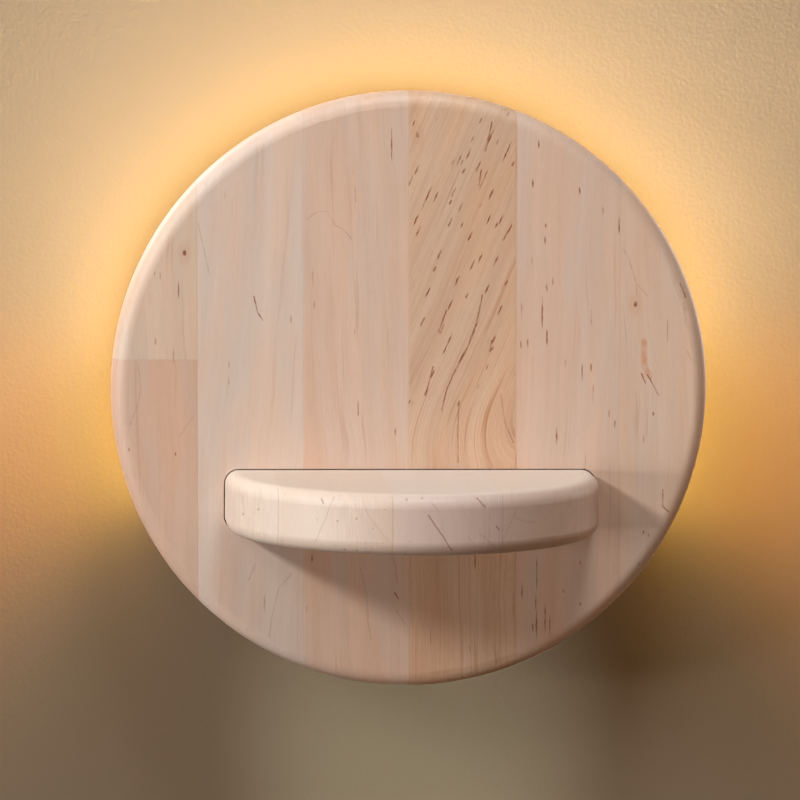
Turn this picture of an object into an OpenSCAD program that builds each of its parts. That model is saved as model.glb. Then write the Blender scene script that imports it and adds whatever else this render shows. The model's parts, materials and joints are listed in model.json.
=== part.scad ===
// Wall lamp: a round wooden disc with a half-moon shelf, lit from behind.
// Every piece is drawn as it lies on the wall: x to the right, y up, z out into the room.
// on_wall() then stands that frame up, so the wall is the plane y = 0 and the room is towards -Y.

/* [Front disc] */
// Diameter of the disc
disc_d = 280; // [268:1:320]
// Thickness of the disc
disc_t = 20; // [18:0.5:28]
// Radius of its rounded front edge
disc_edge_r = 7; // [3:0.5:14]
// Radius of its eased back edge
disc_back_r = 2; // [0.5:0.5:3.5]

/* [Shelf] */
// Width of the shelf
shelf_w = 174; // [156:1:184]
// Thickness of the shelf
shelf_t = 28; // [22:0.5:30]
// Length of the straight sides in front of the disc
shelf_side = 10; // [2:0.5:30]
// Radius of the rounded edges
shelf_edge_r = 6.5; // [3:0.5:9]
// Drop of the shelf's top below the centre of the disc
shelf_drop = 37; // [36:0.5:42]
// Gap round the shelf in its slot
slot_gap = 0.5; // [0.3:0.1:1]
// Width of the tail behind the disc
tail_w = 136; // [120:1:146]
// Length of the tail behind the disc
tail_l = 22; // [20:0.5:24]

/* [Shelf brackets] */
// Distance of each bracket from the middle
angle_x = 45; // [41:0.5:52]
// Width of each bracket
angle_w = 20; // [14:0.5:22]
// Length of the leg on the disc
angle_leg = 30; // [27:0.5:34]
// Length of the leg on the shelf's tail
angle_foot = 19; // [17:0.5:20]
// Thickness of the bracket's steel
angle_t = 2; // [1.5:0.5:2.5]

/* [Spacer ring] */
// Outer diameter of the ring
ring_d = 230; // [226:1:244]
// Radial thickness of the ring
ring_t = 12; // [11:0.5:14]
// Depth of the ring
ring_depth = 33.5; // [32:0.5:45]
// Number of screws through the ring
ring_screw_count = 6; // [6:6:12]

/* [Wall pads] */
// Diameter of each pad
pad_d = 10; // [7:0.5:10.5]
// Thickness of each pad
pad_t = 1.5; // [1:0.5:3]

/* [Light channel] */
// Angle that the light channel covers
light_span = 230; // [190:5:240]
// Width of the channel
channel_w = 14; // [13:0.5:18]
// Height of the channel
channel_h = 7; // [6:0.5:8]
// Thickness of the channel's base
channel_base = 1.5; // [1.2:0.1:2]
// Thickness of the channel's side walls
channel_wall = 1.2; // [1:0.1:1.4]
// Width of the light strip
strip_w = 10; // [8:0.5:10]
// Thickness of the light strip
strip_t = 0.3; // [0.2:0.1:0.5]
// Spacing of the light chips
chip_pitch = 8.3; // [6:0.1:20]

/* [Driver] */
// Length of the driver's case
driver_l = 150; // [138:1:156]
// Width of the driver's case
driver_w = 42; // [36:0.5:46]
// Height of the driver's case
driver_h = 22; // [18:0.5:22]
// Wall thickness of the case
driver_wall = 2; // [1.5:0.1:2.5]

/* [Terminal block] */
// Spacing of the three poles
pole_pitch = 12; // [11.5:0.1:13]
// Length of the block along the wires
block_l = 22; // [20:0.5:24]
// Height of the block
block_h = 14; // [13:0.5:15]
// Width of each lever
lever_w = 8; // [6.5:0.1:8.4]
// Thickness of each lever
lever_t = 2.6; // [2:0.1:3]

/* [Leads] */
// Diameter of each lead
lead_d = 2.2; // [1.6:0.1:2.4]

/* [Hanging] */
// Height of the hanger studs above the centre of the disc
hanger_y = 45; // [43:0.5:50]
// Distance of each stud from the middle
stud_x = 55; // [50:0.5:60]
// Neck diameter of the studs
stud_d = 4; // [3:0.1:5]
// Head diameter of the studs
stud_head_d = 8; // [7:0.1:9]
// How far the lamp lifts before it comes off the studs
lift = 12; // [10:0.5:13]
// Thickness of the hanger rail
rail_t = 2; // [1.5:0.1:2.5]
// Thickness of the wall bracket
bracket_t = 2; // [1.5:0.1:2.5]
// Room between bracket and rail for the heads of the wall screws
head_room = 4; // [3.5:0.1:4.5]
// Spacing of the two wall screws
wall_screw_spacing = 60; // [54:0.5:66]
// Width of the wall screws' slots
wall_slot_w = 4.5; // [4:0.1:6]
// Length of the wall screws' slots
wall_slot_l = 9; // [7:0.5:12]
// Bore of the cable bush
cable_bore = 9; // [7:0.5:11]

/* [Hidden] */
$fn = 72;

// Clearances
screw_fit = 0.1;        // round a screw's shank
glue_gap = 0.1;         // under a glued or clamped piece
slip = 0.3;             // between pieces that move past each other
press_gap = 0.05;       // round a piece that is pressed or riveted in
pivot_fit = 0.06;       // round a lever's stub in its bore
head_sink = 0.1;        // how far a sunk head lies below the channel's curved base
past = 1;               // how far a cut runs past a face

// Depths, measured out from the wall
disc_back = pad_t + ring_depth;
disc_front = disc_back + disc_t;
rail_back = bracket_t + head_room;
rail_front = rail_back + rail_t;
light_z = (pad_t + disc_back) / 2;

// Ring and light channel
ring_r = ring_d / 2;
ring_in = ring_r - ring_t;
ring_mid = ring_r - ring_t / 2;
light_start = 90 - light_span / 2;
channel_in = ring_r + glue_gap;
strip_in = channel_in + channel_base + glue_gap / 2;
strip_out = strip_in + strip_t;
channel_out = channel_in + channel_h;
diffuser_t = 1.4;
ledge_t = 0.6;
ledge_w = 0.8;
end_cap_t = 2;
strip_margin = 1.2;     // angle that the strip stops short of the channel's ends
chip_w = 2.8;
chip_l = 3.5;
chip_h = 0.8;
solder_t = 0.02;        // between strip and chip
lead_hole_d = 6.4;
lead_pair = 0.68 * lead_d;  // from the middle of the hole to each of its two leads
lead_hole_angle = light_start + 4;
channel_screw_angles = [light_start + 12, 45, 90, 135, 168 - light_start];

// Shelf
shelf_y = -shelf_drop - shelf_t / 2;
tail_edge_r = 2;

// Screws: shank diameter, head diameter, head height, length
ring_screw_bite = 12;   // how far the ring's screws run into the disc
board_screw = [4, 8, 1.6, 14];
ring_screw = [4, 7.6, 2.2, ring_depth + ring_screw_bite];
channel_screw = [2.5, 4.6, 1.2, 8];
small_screw = [3, 6, 1.4, 12];
lid_screw = [2, 3.6, 1, 6];
rail_screw = [3.5, 7, 1.5, 14];

// Brackets of the shelf
angle_bend = 1.5;
leg_screw_rows = [12, 23];
foot_screw_z = disc_back - 12;

// Driver
driver_low = 10;        // height of its lower side above the disc's centre
driver_y = driver_low + driver_w / 2;
driver_top = disc_back - driver_h;
driver_lid_t = 2;
driver_corner = 3;
driver_ear_l = 9;
driver_ear_w = 14;
driver_ear_t = 3;
driver_ear_x = driver_l / 2 + driver_ear_l / 2;
wire_hole_d = lead_d + 2 * slip;
wire_end = 13;          // from the driver's end to its outer wire hole
wire_pitch = 7;         // from there to the next wire hole
mains_in = [wire_end - driver_l / 2, wire_end + wire_pitch - driver_l / 2];
light_out = [driver_l / 2 - wire_end, driver_l / 2 - wire_end - wire_pitch];
wire_z = disc_back - 10;
lid_boss_d = 6;
boss_bite = 0.6;        // how far each boss runs into the walls beside it
lid_boss_x = driver_l / 2 - driver_wall - lid_boss_d / 2 + boss_bite;
lid_boss_y = driver_w / 2 - driver_wall - lid_boss_d / 2 + boss_bite;
board_t = 1.6;
board_gap = 3;
board_top = disc_back - driver_wall - board_gap - board_t;
parts_h = board_top - driver_top - driver_lid_t - 2;
transformer = [24, 20];
capacitor_d = 9;
capacitor_at = [-28, 7];
coil_d = 10;
coil_x = 28;
heat_sink = [3, 18];
heat_sink_x = 41.5;
fuse = [7, 14];
fuse_x = -40.5;

// Terminal block
block_top = -6;         // height of the side that the wires enter
block_low = block_top - block_l;
block_back = disc_back - block_h;
block_w = 3 * pole_pitch + 2;
block_ear_w = 8;
block_ear_h = 10;
block_ear_t = 3;
block_ear_y = block_top - block_l / 2;
entry_z = disc_back - 4.6;
entry_offset = 3;       // from the pole's middle to each of its two wire entries
supply_hole_d = 3.4;
clamp_z = entry_z + (supply_hole_d - lead_d) / 2 - 2 * glue_gap;  // leads lie by the contacts
lever_gap = 0.3;
lever_slot_w = lever_w + 2 * lever_gap;
lever_slot_h = lever_t + 1.9;
lever_hub_r = lever_t / 2 + 0.6;
lever_y = block_low + 5;
lever_z = block_back + lever_hub_r - 0.2;
lever_l = block_l - 7;
stub_r = 1.2;
stub_l = 1.2;
contact_l = 12;
contact_w = 9;
contact_t = 1.2;
strip_l = 8;            // how far a lead runs into the block
lead_in = 6;            // how far a lead runs into the driver
low_row = (block_top + driver_low) / 2 - lead_d;
high_row = low_row + 1.6 * lead_d;
contact_z = entry_z + supply_hole_d / 2 + glue_gap / 2;

// Hanging
neck_r = stud_d / 2;
stud_head_t = 2;
stud_top = rail_front + 2 * slip;
keyhole_r = stud_head_d / 2 + 2 * slip;
rail_low = hanger_y - lift - keyhole_r - 4.4;
rail_high = hanger_y + neck_r + 7;
rail_plate_w = 2 * stud_x + 2 * keyhole_r + 16;
rail_ear_r = 5.5;
rail_ear_x = sqrt(pow(ring_mid, 2) - pow(hanger_y, 2));
bracket_half_h = 10;
bracket_w = 2 * stud_x + 26;
cable_y = 18;
cable_tab_w = 44;
cable_tab_low = -12;
grommet_body_r = cable_bore / 2 + 3.5;
grommet_flange_r = grommet_body_r + 2;
grommet_rear_r = grommet_body_r + 1.4;
grommet_rear_t = 0.8;
grommet_front_t = 1.6;
earth_x = 18;
earth_y = rail_low + 5;
earth_screw_size = [4, 7, 2.2, 6];
tag_r = 4.2;
tag_t = 0.8;
barrel_r = lead_d / 2 + 0.65;
barrel_l = 7;
barrel_low = earth_y - tag_r - barrel_l - 1;

// Stands the wall's own frame up
module on_wall() {
    rotate([90, 0, 0]) children();
}

// Mirrored pair about the middle of the lamp
module both_sides() {
    for (side = [-1, 1]) scale_x(side) children();
}

module scale_x(side) {
    if (side < 0) mirror([1, 0, 0]) children();
    else children();
}

module scale_y(side) {
    if (side < 0) mirror([0, 1, 0]) children();
    else children();
}

// Flat rectangle with round corners, centred
module rounded_rect(w, h, r) {
    square([w - 2 * r, h], center = true);
    square([w, h - 2 * r], center = true);
    for (x = [-1, 1], y = [-1, 1])
        translate([x * (w / 2 - r), y * (h / 2 - r)]) circle(r);
}

// Slot with round ends, centred, along x
module long_hole(l, w) {
    square([l - w, w], center = true);
    for (x = [-1, 1]) translate([x * (l - w) / 2, 0]) circle(d = w);
}

// Tube round z, from z = 0
module tube(r_out, r_in, h) {
    difference() {
        cylinder(r = r_out, h = h, $fn = 144);
        translate([0, 0, -past]) cylinder(r = r_in, h = h + 2 * past, $fn = 144);
    }
}

// Cross recess cut into a screw head whose top is at z = 0
module cross_recess(size, depth) {
    for (turn = [0, 90]) rotate([0, 0, turn])
        translate([-size / 2, -size / 8, -past]) cube([size, size / 4, depth + past]);
}

// Screw along +z: the underside of its pan head lies at z = 0
module pan_screw(s) {
    head_edge = s[2] * 0.45;
    difference() {
        union() {
            translate([0, 0, -s[2] + head_edge]) cylinder(d = s[1], h = s[2] - head_edge);
            translate([0, 0, -s[2]]) cylinder(d1 = s[1] - 2 * head_edge, d2 = s[1], h = head_edge);
            cylinder(d = s[0], h = s[3] - s[0]);
            translate([0, 0, s[3] - s[0]]) cylinder(d1 = s[0], d2 = s[0] * 0.2, h = s[0]);
        }
        translate([0, 0, -s[2]]) cross_recess(s[1] * 0.55, s[2] * 0.7);
    }
}

// Screw along +z: the flat top of its sunk head lies at z = 0
module sunk_screw(s) {
    difference() {
        union() {
            cylinder(d1 = s[1], d2 = s[0], h = s[2]);
            translate([0, 0, s[2]]) cylinder(d = s[0], h = s[3] - s[2] - s[0]);
            translate([0, 0, s[3] - s[0]]) cylinder(d1 = s[0], d2 = s[0] * 0.2, h = s[0]);
        }
        cross_recess(s[1] * 0.5, s[2] * 0.5);
    }
}

// Hole for a screw's shank, from z = 0
module screw_hole(s, depth) {
    cylinder(d = s[0] + 2 * screw_fit, h = depth);
}

// Hole and seat for a sunk screw, as one revolved outline
module sunk_hole(s, depth) {
    shank_r = s[0] / 2 + screw_fit;
    head_r = s[1] / 2 + screw_fit;
    rotate_extrude() polygon([[0, -past], [head_r, -past], [head_r, 0], [shank_r, s[2]],
                              [shank_r, depth], [0, depth]]);
}

// Smooth path of a lead through a few chosen points
function spline(a, b, c, d, t) =
    0.5 * ((2 * b) + (c - a) * t + (2 * a - 5 * b + 4 * c - d) * t * t
           + (3 * b - a - 3 * c + d) * t * t * t);
function smooth(p, steps) = [
    for (i = [0 : len(p) - 2], k = [0 : steps - 1])
        spline(i == 0 ? 2 * p[0] - p[1] : p[i - 1], p[i], p[i + 1],
               i + 2 < len(p) ? p[i + 2] : 2 * p[i + 1] - p[i], k / steps),
    p[len(p) - 1]];
function unit(v) = v / norm(v);
function tangents(p) = [for (i = [0 : len(p) - 1])
    unit(p[min(i + 1, len(p) - 1)] - p[max(i - 1, 0)])];
function normals(t, i = 0, made = []) =
    i == len(t) ? made
    : let (last = i == 0 ? cross(t[0], [0.31, 0.22, 0.93]) : made[i - 1])
      normals(t, i + 1, concat(made, [unit(last - (last * t[i]) * t[i])]));

// Round lead swept along a path
module lead(points, steps = 4) {
    sides = 8;
    path = smooth(points, steps);
    t = tangents(path);
    n = normals(t);
    rings = len(path);
    vertices = [for (i = [0 : rings - 1], k = [0 : sides - 1])
        let (a = 360 * k / sides, b = cross(t[i], n[i]))
        path[i] + lead_d / 2 * (cos(a) * n[i] + sin(a) * b)];
    walls = [for (i = [0 : rings - 2], k = [0 : sides - 1], half = [0, 1])
        let (a = i * sides + k, b = i * sides + (k + 1) % sides)
        half == 0 ? [a, a + sides, b] : [b, a + sides, b + sides]];
    first_cap = [for (k = [1 : sides - 2]) [0, k, k + 1]];
    base = (rings - 1) * sides;
    last_cap = [for (k = [1 : sides - 2]) [base, base + k + 1, base + k]];
    polyhedron(points = vertices, faces = concat(walls, first_cap, last_cap));
}

// Where each repeated screw sits
module at_ring_screws() {
    for (i = [0 : ring_screw_count - 1]) rotate([0, 0, i * 360 / ring_screw_count])
        translate([ring_mid, 0, pad_t]) children();
}

module at_channel_screws() {
    for (a = channel_screw_angles) rotate([0, 0, a])
        translate([channel_in + channel_base - head_sink, 0, light_z]) rotate([0, -90, 0]) children();
}

module at_rail_screws() {
    both_sides() translate([rail_ear_x, hanger_y, rail_back]) children();
}

module at_leg_screws() {
    both_sides() for (row = leg_screw_rows)
        translate([angle_x, -shelf_drop + row, disc_back - angle_t]) children();
}

module at_foot_screws() {
    both_sides() translate([angle_x, -shelf_drop + angle_t, foot_screw_z])
        rotate([90, 0, 0]) children();
}

module at_driver_screws() {
    both_sides() translate([driver_ear_x, driver_y, disc_back - driver_ear_t]) children();
}

module at_lid_screws() {
    both_sides() for (y = [-1, 1])
        translate([lid_boss_x, driver_y + y * lid_boss_y, driver_top]) children();
}

module at_terminal_screws() {
    both_sides() translate([block_w / 2 + block_ear_w / 2, block_ear_y, disc_back - block_ear_t])
        children();
}

module at_poles() {
    for (pole = [-1, 0, 1]) translate([pole * pole_pitch, 0, 0]) children();
}

// Round board with its front edge rounded over
module disc_blank() {
    r = disc_d / 2;
    rotate_extrude($fn = 180) {
        square([r - disc_edge_r, disc_t]);
        translate([0, disc_back_r]) square([r, disc_t - disc_back_r - disc_edge_r]);
        square([r - disc_back_r, disc_t - disc_edge_r]);
        translate([r - disc_back_r, disc_back_r]) circle(disc_back_r);
        translate([r - disc_edge_r, disc_t - disc_edge_r]) intersection() {
            circle(disc_edge_r, $fn = 96);
            square(disc_edge_r);
        }
    }
}

module front_disc() {
    color("burlywood") on_wall() difference() {
        translate([0, 0, disc_back]) disc_blank();
        translate([0, shelf_y, disc_back - past]) linear_extrude(disc_t + 2 * past)
            rounded_rect(shelf_w + 2 * slot_gap, shelf_t + 2 * slot_gap, shelf_edge_r + slot_gap);
        at_ring_screws() translate([0, 0, ring_depth - past])
            screw_hole(ring_screw, ring_screw[3] - ring_depth + past + 1);
        at_leg_screws() screw_hole(board_screw, board_screw[3] + 1);
        at_driver_screws() screw_hole(small_screw, small_screw[3] + 1);
        at_terminal_screws() screw_hole(small_screw, small_screw[3] + 1);
    }
}

// Half-moon board: a half disc with rounded edges in front of straight sides and a narrower tail
module shelf() {
    half_w = shelf_w / 2;
    color("wheat") on_wall() difference() {
        translate([0, shelf_y, 0]) {
            translate([0, 0, disc_front + shelf_side]) rotate([90, 0, 0])
                rotate_extrude(angle = 180, $fn = 180) {
                    translate([0, -shelf_t / 2]) square([half_w - shelf_edge_r, shelf_t]);
                    translate([0, shelf_edge_r - shelf_t / 2])
                        square([half_w, shelf_t - 2 * shelf_edge_r]);
                    for (y = [-1, 1])
                        translate([half_w - shelf_edge_r, y * (shelf_t / 2 - shelf_edge_r)])
                            circle(shelf_edge_r);
                }
            translate([0, 0, disc_back]) linear_extrude(disc_t + shelf_side)
                rounded_rect(shelf_w, shelf_t, shelf_edge_r);
            translate([0, 0, disc_back - tail_l]) linear_extrude(tail_l + past)
                rounded_rect(tail_w, shelf_t, tail_edge_r);
        }
        at_foot_screws() screw_hole(board_screw, board_screw[3] + 1);
    }
}

// Steel angle: one leg on the back of the disc, one foot on the shelf's tail
module shelf_brackets() {
    color("silver") on_wall() difference() {
        both_sides() translate([angle_x - angle_w / 2, -shelf_drop, disc_back])
            rotate([0, 90, 0]) linear_extrude(angle_w) {
                square([angle_t, angle_leg]);
                square([angle_foot, angle_t]);
                translate([angle_t, angle_t]) difference() {
                    square(angle_bend);
                    translate([angle_bend, angle_bend]) circle(angle_bend);
                }
            }
        at_leg_screws() translate([0, 0, -past]) screw_hole(board_screw, angle_t + 2 * past);
        at_foot_screws() translate([0, 0, -past]) screw_hole(board_screw, angle_t + 2 * past);
    }
}

module shelf_screws() {
    color("lightgray") on_wall() {
        at_leg_screws() pan_screw(board_screw);
        at_foot_screws() pan_screw(board_screw);
    }
}

// Pocket outline of the rail's ears, also the rail's own outline with no clearance
module rail_outline(clearance) {
    ear_w = 2 * (rail_ear_r + clearance);
    translate([0, hanger_y]) long_hole(2 * rail_ear_x + ear_w, ear_w);
    translate([0, (rail_low + rail_high) / 2])
        rounded_rect(rail_plate_w + 2 * clearance, rail_high - rail_low + 2 * clearance,
                     4 + clearance);
}

module spacer_ring() {
    color("tan") on_wall() difference() {
        translate([0, 0, pad_t]) tube(ring_r, ring_in, ring_depth);
        translate([0, 0, pad_t - past]) linear_extrude(rail_front - pad_t + past)
            rail_outline(slip);
        at_rail_screws() translate([0, 0, rail_t]) screw_hole(rail_screw, rail_screw[3] - rail_t + 1);
        at_ring_screws() sunk_hole(ring_screw, ring_depth + past);
        at_channel_screws() screw_hole(channel_screw, channel_screw[3] + 1);
        rotate([0, 0, lead_hole_angle]) translate([ring_in - 2 * past, 0, light_z])
            rotate([0, 90, 0]) cylinder(d = lead_hole_d, h = ring_t + 4 * past);
    }
}

module ring_screws() {
    color("lightgray") on_wall() at_ring_screws() sunk_screw(ring_screw);
}

module wall_pads() {
    color("dimgray") on_wall() for (a = [90, 210, 330]) rotate([0, 0, a])
        translate([ring_mid, 0, 0]) cylinder(d = pad_d, h = pad_t);
}

// Bent channel with a ledge inside each wall for the cover
module led_channel() {
    cover_low = channel_h - diffuser_t;
    outer = channel_w / 2;
    inner = outer - channel_wall;
    half = [[0, outer], [channel_h, outer], [channel_h, inner], [cover_low, inner],
            [cover_low, inner - ledge_w], [cover_low - ledge_t, inner - ledge_w],
            [cover_low - ledge_t, inner], [channel_base, inner]];
    other = [for (i = [len(half) - 1 : -1 : 0]) [half[i][0], -half[i][1]]];
    color("gainsboro") on_wall() difference() {
        rotate([0, 0, light_start]) rotate_extrude(angle = light_span, $fn = 180)
            translate([channel_in, light_z]) polygon(concat(half, other));
        at_channel_screws() sunk_hole(channel_screw, channel_base + past);
        rotate([0, 0, lead_hole_angle]) translate([channel_in - past, 0, light_z])
            rotate([0, 90, 0]) cylinder(d = lead_hole_d, h = channel_base + 1.5 * past);
    }
}

module channel_screws() {
    color("lightgray") on_wall() at_channel_screws() sunk_screw(channel_screw);
}

module channel_end_caps() {
    color("whitesmoke") on_wall() for (end = [0, 1])
        rotate([0, 0, light_start + end * light_span]) scale_y(end == 0 ? -1 : 1)
            translate([channel_in + glue_gap, press_gap, light_z - channel_w / 2])
                cube([channel_h, end_cap_t, channel_w]);
}

module led_strip() {
    color("white") on_wall() rotate([0, 0, light_start + strip_margin])
        rotate_extrude(angle = light_span - 2 * strip_margin, $fn = 180)
            translate([strip_in, light_z - strip_w / 2]) square([strip_t, strip_w]);
}

// Light chips at an even pitch along the strip
module led_chips() {
    run = (light_span - 2 * strip_margin) * PI / 180 * strip_out;
    count = floor(run / chip_pitch);
    step = chip_pitch / (PI / 180 * strip_out);
    first = 90 - step * (count - 1) / 2;
    color("gold") on_wall() for (i = [0 : count - 1]) rotate([0, 0, first + i * step])
        translate([strip_out + solder_t, -chip_w / 2, light_z - chip_l / 2])
            cube([chip_h, chip_w, chip_l]);
}

module light_diffuser() {
    cover_w = channel_w - 2 * channel_wall - glue_gap;
    color("ivory", 0.8) on_wall() rotate([0, 0, light_start])
        rotate_extrude(angle = light_span, $fn = 180)
            translate([channel_out - diffuser_t, light_z - cover_w / 2])
                square([diffuser_t, cover_w]);
}

// Open plastic case with corner bosses, two ears and four wire holes
module driver_case() {
    shell_h = driver_h - driver_lid_t;
    color("white") on_wall() difference() {
        union() {
            translate([0, driver_y, disc_back - shell_h]) linear_extrude(shell_h) difference() {
                rounded_rect(driver_l, driver_w, driver_corner);
                rounded_rect(driver_l - 2 * driver_wall, driver_w - 2 * driver_wall, 1);
            }
            translate([0, driver_y, disc_back - driver_wall]) linear_extrude(driver_wall)
                rounded_rect(driver_l - driver_wall, driver_w - driver_wall, 1);
            at_lid_screws() translate([0, 0, driver_lid_t]) cylinder(d = lid_boss_d, h = shell_h);
            both_sides() translate([driver_l / 2 - driver_wall / 2, driver_y - driver_ear_w / 2,
                                    disc_back - driver_ear_t])
                cube([driver_ear_l + driver_wall / 2, driver_ear_w, driver_ear_t]);
        }
        at_driver_screws() translate([0, 0, -past]) screw_hole(small_screw, driver_ear_t + 2 * past);
        at_lid_screws() screw_hole(lid_screw, lid_screw[3] + 1);
        for (x = concat(mains_in, light_out)) translate([x, driver_low - past, wire_z])
            rotate([-90, 0, 0]) cylinder(d = wire_hole_d, h = driver_wall + 2 * past);
    }
}

module driver_lid() {
    color("white") on_wall() difference() {
        union() {
            translate([0, driver_y, driver_top]) linear_extrude(driver_lid_t)
                rounded_rect(driver_l, driver_w, driver_corner);
            translate([0, driver_y, driver_top + driver_lid_t - 0.5]) linear_extrude(1.5)
                rounded_rect(driver_l - 4 * lid_boss_d, driver_w - 2 * driver_wall - 2 * glue_gap, 1);
        }
        at_lid_screws() translate([0, 0, -past]) screw_hole(lid_screw, driver_lid_t + 2 * past);
    }
}

module driver_lid_screws() {
    color("lightgray") on_wall() at_lid_screws() pan_screw(lid_screw);
}

// Circuit board on two rails inside the case
module driver_board() {
    board_l = driver_l - 2 * driver_wall - 2 * lid_boss_d - 2;
    board_w = driver_w - 2 * driver_wall - 2 * slip;
    color("seagreen") on_wall() {
        translate([-board_l / 2, driver_y - board_w / 2, board_top])
            cube([board_l, board_w, board_t]);
        for (y = [-1, 1]) translate([-board_l / 2, driver_y + y * (board_w / 2 - 2) - 1, board_top])
            cube([board_l, 2, board_t + board_gap]);
    }
}

// Transformer, capacitors, coil and heat sink, standing on the board
module driver_parts() {
    color("goldenrod") on_wall() translate([0, driver_y, board_top]) mirror([0, 0, 1]) {
        linear_extrude(parts_h) {
            square(transformer, center = true);
            for (y = [-1, 1]) translate([capacitor_at[0], y * capacitor_at[1]])
                circle(d = capacitor_d);
            translate([coil_x, 0]) circle(d = coil_d);
            translate([heat_sink_x, 0]) square(heat_sink, center = true);
        }
        translate([fuse_x, 0]) linear_extrude(parts_h * 0.7) square(fuse, center = true);
    }
}

module driver_screws() {
    color("lightgray") on_wall() at_driver_screws() pan_screw(small_screw);
}

// Three-pole block: a slot for each lever, two wire entries and a contact pocket a pole
module terminal_block() {
    color("lightgray") on_wall() difference() {
        union() {
            translate([-block_w / 2, block_low, block_back]) cube([block_w, block_l, block_h]);
            both_sides() translate([block_w / 2 - past, block_ear_y - block_ear_h / 2,
                                    disc_back - block_ear_t])
                cube([block_ear_w + past, block_ear_h, block_ear_t]);
        }
        at_terminal_screws() translate([0, 0, -past]) screw_hole(small_screw, block_ear_t + 2 * past);
        at_poles() {
            translate([-lever_slot_w / 2, lever_y - lever_hub_r - lever_gap, block_back - past])
                cube([lever_slot_w, block_l, lever_slot_h + past]);
            translate([-lever_slot_w / 2 - stub_l - glue_gap, lever_y, lever_z]) rotate([0, 90, 0])
                cylinder(r = stub_r + pivot_fit, h = lever_slot_w + 2 * (stub_l + glue_gap));
            for (side = [-1, 1]) translate([side * entry_offset, block_top + past, entry_z])
                rotate([90, 0, 0]) cylinder(d = supply_hole_d, h = contact_l + past);
            translate([-contact_w / 2 - glue_gap, block_top - contact_l - 2, entry_z - glue_gap])
                cube([contact_w + 2 * glue_gap, contact_l, contact_z + contact_t + 2 * glue_gap - entry_z]);
        }
    }
}

module terminal_contacts() {
    color("goldenrod") on_wall() at_poles()
        translate([-contact_w / 2, block_top - contact_l - 1.6, contact_z])
            cube([contact_w, contact_l - 0.8, contact_t]);
}

module terminal_screws() {
    color("lightgray") on_wall() at_terminal_screws() pan_screw(small_screw);
}

// Lever lying in its slot: a hub with two stubs, a flat arm and a lifting tip
module lever(pole) {
    color("darkorange") on_wall() translate([pole * pole_pitch, lever_y, lever_z]) {
        rotate([0, 90, 0]) {
            translate([0, 0, -lever_w / 2]) cylinder(r = lever_hub_r, h = lever_w);
            translate([0, 0, -lever_slot_w / 2 - stub_l])
                cylinder(r = stub_r, h = lever_slot_w + 2 * stub_l);
        }
        translate([-lever_w / 2, 0, -lever_hub_r]) cube([lever_w, lever_l, lever_t]);
        translate([-lever_w / 2, lever_l, -lever_hub_r + lever_t / 2]) rotate([0, 90, 0])
            cylinder(d = lever_t, h = lever_w);
    }
}

module lever_live() { lever(-1); }
module lever_neutral() { lever(0); }
module lever_earth() { lever(1); }

// Lead from the block along the driver's lower side and up into it; row is its height between them
module mains_lead(from_x, to_x, row) {
    lead([
        [from_x, block_top - strip_l, clamp_z], [from_x, block_top - strip_l / 2, clamp_z],
        [from_x, block_top, clamp_z], [from_x - lead_d, row - lead_d / 2, entry_z - lead_d],
        [from_x - 4 * lead_d, row, wire_z + lead_d / 2], [(from_x + to_x) / 2, row, wire_z],
        [to_x + 3 * lead_d, row, wire_z], [to_x + lead_d / 4, (row + driver_low) / 2, wire_z],
        [to_x, driver_low, wire_z], [to_x, driver_low + lead_in, wire_z]]);
}

module live_lead() {
    color("saddlebrown") on_wall()
        mains_lead(-pole_pitch + entry_offset, mains_in[0], low_row);
}

module neutral_lead() {
    color("steelblue") on_wall() mains_lead(entry_offset, mains_in[1], high_row);
}

// Lead from the block out to the ring terminal on the rail
module earth_lead() {
    from_x = pole_pitch + entry_offset;
    barrel_z = rail_back - barrel_r;
    color("yellowgreen") on_wall() lead([
        [from_x, block_top - strip_l, clamp_z], [from_x, block_top - strip_l / 2, clamp_z],
        [from_x, block_top, clamp_z], [from_x + lead_d / 4, block_top + 2.7 * lead_d, entry_z - lead_d],
        [from_x + 0.7 * lead_d, block_top + 5.4 * lead_d, entry_z - 4.5 * lead_d],
        [earth_x - lead_d / 2, driver_low - 2 * lead_d, driver_top],
        [earth_x, barrel_low - 2 * lead_d, barrel_z + 1], [earth_x, barrel_low - lead_d / 2, barrel_z],
        [earth_x, barrel_low + 1, barrel_z], [earth_x, barrel_low + barrel_l / 2, barrel_z]]);
}

// Point on the ring's side, at a radius and the angle of the lead hole
function by_hole(r, z) = [r * cos(lead_hole_angle), r * sin(lead_hole_angle), z];

// Lead from the driver past the corner of the shelf's tail to the hole in the ring
module light_lead(from_x, z) {
    corner = [tail_w / 2 + 3 * lead_d, 3 * lead_d - shelf_drop];
    lead([
        [from_x, driver_low + lead_in, wire_z], [from_x, driver_low + lead_in / 2, wire_z],
        [from_x, driver_low, wire_z], [from_x + lead_d / 4, driver_low - lead_d, wire_z],
        [(2 * from_x + corner[0]) / 3, (driver_low + corner[1]) / 2, (wire_z + z) / 2],
        [corner[0], corner[1], z], by_hole(ring_in - 2 * lead_d, z), by_hole(ring_in, z),
        by_hole(ring_r - lead_d, z), by_hole(channel_in + channel_base, z)]);
}

module positive_lead() {
    color("firebrick") on_wall() light_lead(light_out[0], light_z + lead_pair);
}

module negative_lead() {
    color("black") on_wall() light_lead(light_out[1], light_z - lead_pair);
}

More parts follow.
